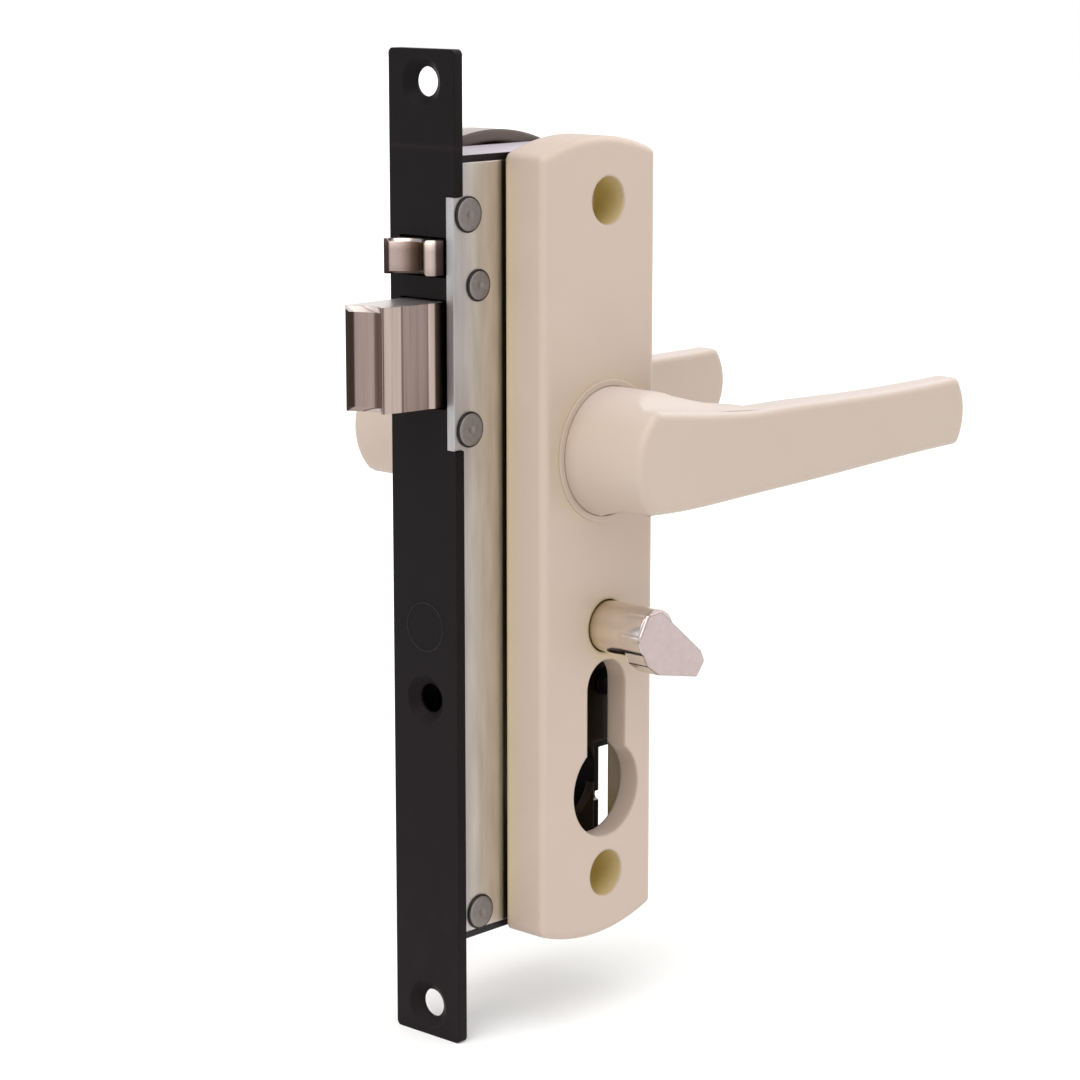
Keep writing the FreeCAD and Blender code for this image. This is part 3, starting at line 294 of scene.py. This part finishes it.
def add_piece(name, points, faces, material, body=None):
    """A smooth mesh piece in metres that rides on a body, if one is named."""
    mesh = bpy.data.meshes.new(name)
    mesh.from_pydata(points.tolist(), [], list(map(tuple, faces)))
    mesh.polygons.foreach_set("use_smooth", np.ones(len(faces), dtype=bool))
    mesh.materials.append(material)
    piece = bpy.data.objects.new(name, mesh)
    bpy.context.scene.collection.objects.link(piece)
    if body:
        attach(piece, body)
    return piece


spigot_coat = finish(
    "spigot black coat", (0.0090, 0.0064, 0.0072), (0.0050, 0.0038, 0.0042), roughness=0.48, spread=0.08,
    grain=2200, height=0.000010, edge=0.0003, specular=0.08, cloud=500,
)
dress(spigot_coat, "face_spigot")
swage_coat = finish(
    "swage black coat", (0.016, 0.012, 0.013), (0.004, 0.003, 0.003), roughness=0.42, spread=0.08,
    grain=2500, height=0.000006, edge=0.0001, specular=0.20, cloud=250,
)
swage_z, swage_radius, swage_tube, swage_proud = -0.0129, 0.00445, 0.00012, 0.00003
points, faces = beads([(0.0, swage_proud, swage_z, swage_radius)], swage_tube, around=96)
y_to_x = [1, 0, 2]
swage = add_piece("spigot_swage", points[:, y_to_x], faces[:, ::-1], swage_coat, "case")


# ---------------------------------------------------------------- case tray
# Steel sheet folded to a tray, black like the faceplate but glossier. Its faces that look up are
# painted pale lilac grey, a painted reflection of the pale ceiling.
case_coat = finish(
    "case coat", (0.0105, 0.0080, 0.0090), (0.0070, 0.0055, 0.0060), roughness=0.30, spread=0.06,
    grain=2500, height=0.000006, edge=0.0003, specular=0.20, painted_top_shading=(0.52, 0.47, 0.53),
)
dress(case_coat, "lock_case")


# ---------------------------------------------------------------- posts, pegs and guides in the case
# Turned and pressed steel, fixed in the tray to hold the springs, the stem and the deadlatch lever.
# The plating bath left a warm tinge.
fitting_steel = finish(
    "plated fitting steel", (0.52, 0.49, 0.42), (0.36, 0.34, 0.30), metallic=1.0, roughness=0.34, spread=0.08,
    grain=2500, height=0.000004, edge=0.0002, cloud=500,
)
dress(fitting_steel, "spring_post", "spring_peg", "aux_guide", "deadlatch_pivot")


# ---------------------------------------------------------------- main latch
# A nickel plated bolt, brushed along its height, that slides through the faceplate. Bands along it
# paint the light and shade on its shape: a dark lip, a hollow end painted pale, a bright facet
# between two painted dark lines, streaks up to a shoulder with a painted highlight, and painted
# shade where it goes into the slot. Its top face has a painted highlight.
latch_nickel = finish(
    "latch nickel", (0.54, 0.44, 0.40), (0.30, 0.24, 0.21), metallic=1.0, roughness=0.34, spread=0.06,
    grain=2500, height=0.000003, edge=0.0002, stretch=(1, 1, 0.02), cloud=1500, painted_top_shading=(0.80, 0.75, 0.72),
    # painted light and shade, band by band
    bands=[("X", [
        (-0.01460, (0.08, 0.065, 0.06)), (-0.01420, (0.10, 0.08, 0.08)),  # lip
        (-0.01405, (0.66, 0.63, 0.62)), (-0.01290, (0.68, 0.65, 0.64)),  # hollow end
        (-0.01282, (0.22, 0.18, 0.16)), (-0.01268, (0.22, 0.18, 0.16)),  # first dark line
        (-0.01260, plain), (-0.00940, plain),  # facet
        (-0.00920, (0.30, 0.27, 0.25)), (-0.00890, (0.40, 0.36, 0.34)),  # second dark line
        (-0.00875, (0.62, 0.59, 0.59)), (-0.00360, (0.57, 0.54, 0.54)), (-0.00340, (0.34, 0.31, 0.30)),  # side
        (-0.00315, (1.05, 1.04, 1.02)), (-0.00220, (1.0, 0.98, 0.96)),  # shoulder
        (-0.00180, (0.20, 0.17, 0.15)), (0.0, (0.08, 0.07, 0.06)),  # into the slot
    ])],
)
dress(latch_nickel, "latch_bolt")


# ---------------------------------------------------------------- small latch
# The same nickel, smoother, on a head that the strike pushes in. Bands paint light and shade on
# it: its hollow end falls from a painted dark lip into painted brown shade and rises to a shoulder
# with a painted highlight, its upper edge has a painted highlight of the ceiling, and its lower
# edge painted shade. Its top face has a painted highlight too.
aux_nickel = finish(
    "small latch nickel", (0.50, 0.42, 0.39), (0.44, 0.37, 0.34), metallic=1.0, roughness=0.22, spread=0.05,
    grain=2500, height=0.000003, edge=0.0002, painted_top_shading=(0.85, 0.80, 0.77),
    bands=[
        ("Y", [
            (-0.0052, (0.05, 0.04, 0.04)), (-0.0047, (0.10, 0.08, 0.08)),  # lip
            (-0.0045, (0.75, 0.72, 0.70)), (-0.0041, (1.00, 0.97, 0.95)), (-0.0035, (0.92, 0.88, 0.86)),  # rim
            (-0.0032, (0.05, 0.04, 0.03)), (-0.0016, (0.07, 0.05, 0.04)), (0.0000, (0.09, 0.06, 0.045)),  # hollow
            (0.0010, (0.18, 0.14, 0.12)), (0.0019, (0.42, 0.35, 0.32)),
            (0.0028, (0.68, 0.63, 0.62)), (0.0038, (0.85, 0.80, 0.78)),  # shoulder
            (0.0040, (0.08, 0.06, 0.06)), (0.0052, (0.08, 0.06, 0.06)),  # far lip
        ]),
        ("Z", [
            (0.0509, (0.75, 0.75, 0.75)), (0.0525, plain), (0.0552, plain), (0.0562, (1.5, 1.5, 1.5)),
            (0.0568, (2.4, 2.5, 2.5)), (0.0571, (2.4, 2.5, 2.5)),
        ]),
    ],
)
dress(aux_nickel, "aux_latch")


# ---------------------------------------------------------------- latch tail, stem, deadlatch lever, slide
# Blanked steel with a dull plated skin, a little scratched along its length. These pieces carry the
# latches' motion and the snib's inside the case.
works_steel = finish(
    "works steel", (0.46, 0.44, 0.41), (0.30, 0.28, 0.26), metallic=1.0, roughness=0.38, spread=0.10,
    grain=2200, height=0.000005, edge=0.0002, stretch=(0.15, 1, 1), cloud=700,
)
dress(works_steel, "latch_tail", "aux_stem", "deadlatch_lever", "deadlock_slide")


# ---------------------------------------------------------------- springs
# Hard drawn wire, dark and smooth, with a thin film of oil: the two latch springs and the hub's
# torsion spring, wound as they stand at rest.
def wound_wire(origin, across, up, axis, radius, gauge, pitch, start, stop, leg=0.0, around=14, steps=48):
    """A round wire, gauge thick, along the path origin + radius (across cos a + up sin a)
    + axis pitch |a - start| / 2 pi for a from start to stop, with a straight leg along the path's
    heading at each end and a flat face on each end."""
    across, up, axis = (np.array(way, dtype=float) for way in (across, up, axis))
    turn = 2 * math.pi
    a = np.linspace(start, stop, int(abs(stop - start) * steps / turn) + 1)[:, None]
    outward = across * np.cos(a) + up * np.sin(a)
    path = np.array(origin) + radius * outward + axis * pitch * np.abs(a - start) / turn
    heading = np.sign(stop - start) * radius * (up * np.cos(a) - across * np.sin(a)) + axis * pitch / turn
    heading = heading / np.linalg.norm(heading, axis=1, keepdims=True)
    if leg:
        path = np.concatenate([path[:1] - heading[:1] * leg, path, path[-1:] + heading[-1:] * leg])
        heading, outward = (np.concatenate([way[:1], way, way[-1:]]) for way in (heading, outward))
    side = np.cross(heading, outward)
    t = np.linspace(0, turn, around, endpoint=False)[None, :, None]
    points = path[:, None] + gauge / 2 * (outward[:, None] * np.cos(t) + side[:, None] * np.sin(t))
    i, j = np.meshgrid(np.arange(len(path) - 1), np.arange(around), indexing="ij")
    next_j = (j + 1) % around
    quads = np.stack([
        i * around + j, i * around + next_j, (i + 1) * around + next_j, (i + 1) * around + j,
    ], axis=-1)
    first = np.arange(around)[::-1]
    last = np.arange(around) + (len(path) - 1) * around
    return points.reshape(-1, 3), [*quads.reshape(-1, 4), first, last]


spring_wire = finish(
    "spring wire", (0.30, 0.29, 0.29), (0.20, 0.19, 0.19), metallic=1.0, roughness=0.24, spread=0.05,
    grain=3000, height=0.000002, edge=0.0001, cloud=900,
)
ahead, sideways, upright = (1, 0, 0), (0, 1, 0), (0, 0, 1)
for name, node, joint, begin, end, y, z, radius, gauge, turns, travel in (
    ("latch_coil", "latch_spring", "latch_draw", 0.00045, 0.03055, -0.0006, 0.0426, 0.00205, 0.0007, 14, 0.01468),
    ("aux_coil", "aux_spring", "aux_push", 0.00835, 0.02165, 0.0, 0.0540, 0.0023, 0.0005, 8, 0.0044),
):
    points, faces = wound_wire(
        (begin, y, z), sideways, upright, ahead, radius, gauge, (end - begin) / turns, 0.0, turns * 2 * math.pi
    )
    coil = add_piece(name, points, faces, spring_wire, "case")
    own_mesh(coil)
    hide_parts(node)

hub_x, hub_z = 0.029, 0.0177
pegged_y, pegged_to_y, free_from_y = -0.0053, -0.0050, -0.00325
points, faces = wound_wire(
    (hub_x, pegged_y, hub_z), ahead, upright, sideways, radius=0.0075, gauge=0.00055, pitch=0.001,
    start=math.radians(990), stop=math.radians(156.25), leg=0.009,
)
hub_coil = add_piece("hub_coil", points, faces, spring_wire)
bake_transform(hub_coil)
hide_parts("return_spring")


# ---------------------------------------------------------------- hub and snib cam
# Sintered steel, matt and open-grained. Both turn in round holes of the tray and the cover, the hub
# with the spindle and the cam with the snib.
sintered = finish(
    "sintered steel", (0.33, 0.31, 0.29), (0.22, 0.21, 0.20), metallic=1.0, roughness=0.52, spread=0.06,
    grain=4000, height=0.000012, edge=0.0003,
)
dress(sintered, "hub_follower", "snib_cam")


# ---------------------------------------------------------------- case cover
# Zinc plated sheet that closes the tray, pale grey at the faceplate and olive further in, with
# cloudy upright streaks. The tab is painted darker toward its edge by the faceplate, painted
# shadow, and behind the plate the sheet is painted near black, painted shade where no light
# reaches it. Its creases are painted a little darker, painted shade.
zinc_plate = finish(
    "zinc plate", (0.90, 0.83, 0.76), (0.56, 0.51, 0.44), metallic=1.0, roughness=0.46, spread=0.08,
    grain=1800, height=0.000004, edge=0.0003, stretch=(1, 1, 0.14), cloud=520, hollow_shading_tint=(0.5, 0.45, 0.4),
    reach=0.0012,
    bands=[("X", [
        (0.0, (0.56, 0.59, 0.67)), (0.0022, (0.60, 0.62, 0.68)), (0.0045, (0.78, 0.80, 0.85)),  # tab
        (0.0062, (0.77, 0.80, 0.80)), (0.0090, (0.88, 0.86, 0.86)), (0.0119, (0.90, 0.92, 0.90)),  # olive
        (0.0124, (0.10, 0.08, 0.05)), (0.044, (0.05, 0.04, 0.03)),  # behind the plate
    ])],
)
dress(zinc_plate, "case_cover")


# ---------------------------------------------------------------- rivets
# Steel rivets that hold the cover on the tray: mottled heads, each ringed by a dark bead that is
# painted shadow round its sloped edge. Those behind the plate are painted dark, painted shade
# where no light reaches them.
rivet_steel = finish(
    "rivet steel", (0.31, 0.28, 0.27), (0.19, 0.17, 0.16), metallic=1.0, roughness=0.60, spread=0.06,
    grain=2500, height=0.000008, edge=0.0007, cloud=1100,
    bands=[("X", [(0.0, plain), (0.0115, plain), (0.0125, (0.08, 0.07, 0.06)), (0.044, (0.05, 0.04, 0.04))])],
)
dress(rivet_steel, "case_rivets")
painted_shadow_ring = finish(
    "painted rivet edge shadow", (0.020, 0.016, 0.014), (0.012, 0.010, 0.009), metallic=0.6, roughness=0.45, spread=0.06,
    grain=2500, height=0.000006, edge=0.0001,
)
# The heads that show on the cover, as (x, z, radius).
heads = [
    (0.0036, 0.0615, 0.00305), (0.0061, 0.0489, 0.0027), (0.0038, 0.0235, 0.00305), (0.0059, -0.0660, 0.00305),
]
cover_y, edge_inset, edge_tube = -0.0078, 0.0001, 0.00028
points, faces = beads([(x, cover_y, z, r - edge_inset) for x, z, r in heads], edge_tube)
rims = add_piece("rivet_painted_shadow_rims", points, faces, painted_shadow_ring, "case")


# ---------------------------------------------------------------- outside plate
# A cream coated casting on the case's far side. What shows of it past the case is its inner side,
# painted dark as shade, and the top of its arch, painted grey brown as shade as far as the middle
# of its thickness. Its hollows are painted deep shade.
far_coat = finish(
    "far cream coat", (0.585, 0.470, 0.390), (0.560, 0.445, 0.365), roughness=0.42, spread=0.05,
    grain=1500, height=0.000010, edge=0.0008, hollow_shading_tint=(0.06, 0.05, 0.03), reach=0.006,
    painted_top_shading=(0.36, 0.31, 0.29), painted_top_shading_to=0.0145,
    bands=[("Y", [(0.0080, (0.21, 0.19, 0.19)), (0.0089, (0.21, 0.19, 0.19)), (0.0092, plain), (0.0400, plain)])],
)
dress(far_coat, "outside_plate")


# ---------------------------------------------------------------- inside plate and the bushes
# A cream coated casting with fine orange peel, and a thin ring under the same coat that each lever
# turns in. The walls of the recesses and the keyhole are painted yellow, painted bounced light, and
# the gaps round the rings are painted darker, painted shade.
cream_coat = finish(
    "cream coat", (0.535, 0.430, 0.356), (0.510, 0.405, 0.334), roughness=0.42, spread=0.05,
    grain=1500, height=0.000010, edge=0.0008, hollow_shading_tint=(1.30, 1.30, 0.50), reach=0.011, open_from=0.76,
)
dress(cream_coat, "inside_plate")
bush_coat = finish(
    "bush cream coat", (0.530, 0.426, 0.354), (0.506, 0.402, 0.330), roughness=0.42, spread=0.05,
    grain=1500, height=0.000008, edge=0.0004, hollow_shading_tint=(0.45, 0.38, 0.30), reach=0.002,
)
dress(bush_coat, "inside_bush", "outside_bush")


# ---------------------------------------------------------------- levers
# Castings under the same cream coat: flat grips on round necks, their creases and edges rounded
# softly. The spindle joins them through the case. Their faces that look up are painted lighter,
# painted light from above, and the grips are painted a shade darker than the necks, painted shade.
lever_coat = finish(
    "lever cream coat", (0.530, 0.432, 0.360), (0.507, 0.409, 0.336), roughness=0.42, spread=0.05,
    grain=1500, height=0.000010, edge=0.0018, painted_top_shading=(0.570, 0.486, 0.446),
    bands=[("X", [(0.0170, plain), (0.0450, (0.96, 0.96, 0.96)), (0.1190, (0.94, 0.94, 0.93))])],
)
dress(lever_coat, "inside_lever", "outside_lever")


# ---------------------------------------------------------------- spindle, grub screws and circlips
# Bright drawn bar for the square spindle, and blackened spring steel for the screws and clips that
# hold the levers and the snib.
drawn_bar = finish(
    "drawn bar", (0.50, 0.48, 0.46), (0.40, 0.38, 0.36), metallic=1.0, roughness=0.28, spread=0.06,
    grain=2500, height=0.000003, edge=0.0002, stretch=(1, 0.1, 1), cloud=900,
)
dress(drawn_bar, "spindle")
black_clip = finish(
    "blackened steel", (0.060, 0.056, 0.054), (0.035, 0.032, 0.030), metallic=0.7, roughness=0.40, spread=0.08,
    grain=2500, height=0.000004, edge=0.0001,
)
dress(black_clip, "lever_circlips", "lever_grub_screws", "snib_circlip")


# ---------------------------------------------------------------- snib turn
# Polished nickel plate on a turned shank with a flat finger. Bands paint reflections on it: the
# shank is painted brighter, a painted highlight, and yellow at its root, a painted reflection of
# the cream plate; the finger's face is banded a darker satin pinkish grey.
nickel = finish(
    "nickel plate", (0.64, 0.595, 0.555), (0.50, 0.465, 0.435), metallic=1.0, roughness=0.16, spread=0.05,
    grain=2500, height=0.000002, edge=0.0004, stretch=(1, 0.12, 1), cloud=600,
    bands=[("Y", [
        (-0.0304, (0.78, 0.69, 0.72)), (-0.0300, (0.78, 0.69, 0.72)),  # finger's face
        (-0.0294, (1.45, 1.50, 1.55)), (-0.0270, (1.34, 1.34, 1.34)), (-0.0240, (1.44, 1.43, 1.37)),  # shank
        (-0.0200, (1.34, 1.29, 1.16)), (-0.0180, (0.90, 0.85, 0.70)),  # root
    ])],
)
dress(nickel, "snib_turn")
